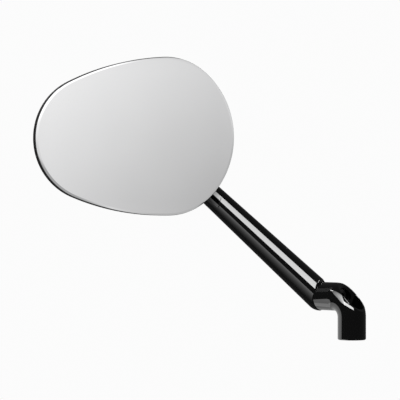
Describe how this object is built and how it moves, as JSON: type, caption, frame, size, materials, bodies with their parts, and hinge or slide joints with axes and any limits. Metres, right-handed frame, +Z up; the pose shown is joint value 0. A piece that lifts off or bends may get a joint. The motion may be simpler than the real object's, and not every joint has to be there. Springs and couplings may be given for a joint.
{
  "type": "motorcycle mirror",
  "caption": "Left-hand motorcycle mirror: egg-shaped polished reflector in a black housing on a ball joint, with a tapered stem that swivels on a bent, counterbored leg.",
  "frame": {"origin": "centre of the elbow's foot, where it stands on the clamp", "axes": "+Z up along the fixing screw, +X towards the middle of the bike, +Y ahead"},
  "size_m": [0.1991, 0.0682, 0.1704],
  "materials": {
    "reflector": "polished",
    "gloss_black": "gloss",
    "satin_black": "satin",
    "bright_steel": "satin",
    "dark_steel": "satin",
    "bronze": "satin",
    "slide_plastic": "matte",
    "black_rubber": "matte",
    "foam_tape": "matte"
  },
  "bodies": {
    "leg": {"elbow": "gloss_black", "swivel_bush": "slide_plastic", "swivel_spring": "bright_steel", "swivel_washer": "bright_steel", "friction_disc": "slide_plastic", "swivel_seal": "black_rubber"},
    "arm": {"stem": "gloss_black", "swivel_screw": "dark_steel", "ball_stud": "bright_steel", "stud_washer": "bright_steel"},
    "liner": {"ball_liner": "slide_plastic"},
    "ring": {"seat_ring": "bronze"},
    "head": {"head_housing": "satin_black", "mirror_plate": "reflector", "adhesive_pad": "foam_tape", "gland_nut": "dark_steel", "gland_lock_screw": "dark_steel", "preload_spring": "bright_steel"}
  },
  "joints": [
    {"name": "stem_swivel", "type": "hinge", "parent": "leg", "child": "arm", "pos_m": [-0.01823, 0.0153, 0.0256], "axis": [-0.766, 0.6428, 0], "continuous": true},
    {"name": "head_pitch", "type": "hinge", "parent": "arm", "child": "liner", "pos_m": [-0.09429, 0.04291, 0.09637], "axis": [0.9511, 0.309, 0], "range_deg": [-10, 10]},
    {"name": "head_yaw", "type": "hinge", "parent": "liner", "child": "ring", "pos_m": [-0.09429, 0.04291, 0.09637], "axis": [0, 0, 1], "range_deg": [-10, 10]},
    {"name": "head_roll", "type": "hinge", "parent": "ring", "child": "head", "pos_m": [-0.09429, 0.04291, 0.09637], "axis": [0.7075, -0.2569, -0.6584], "continuous": true}
  ]
}
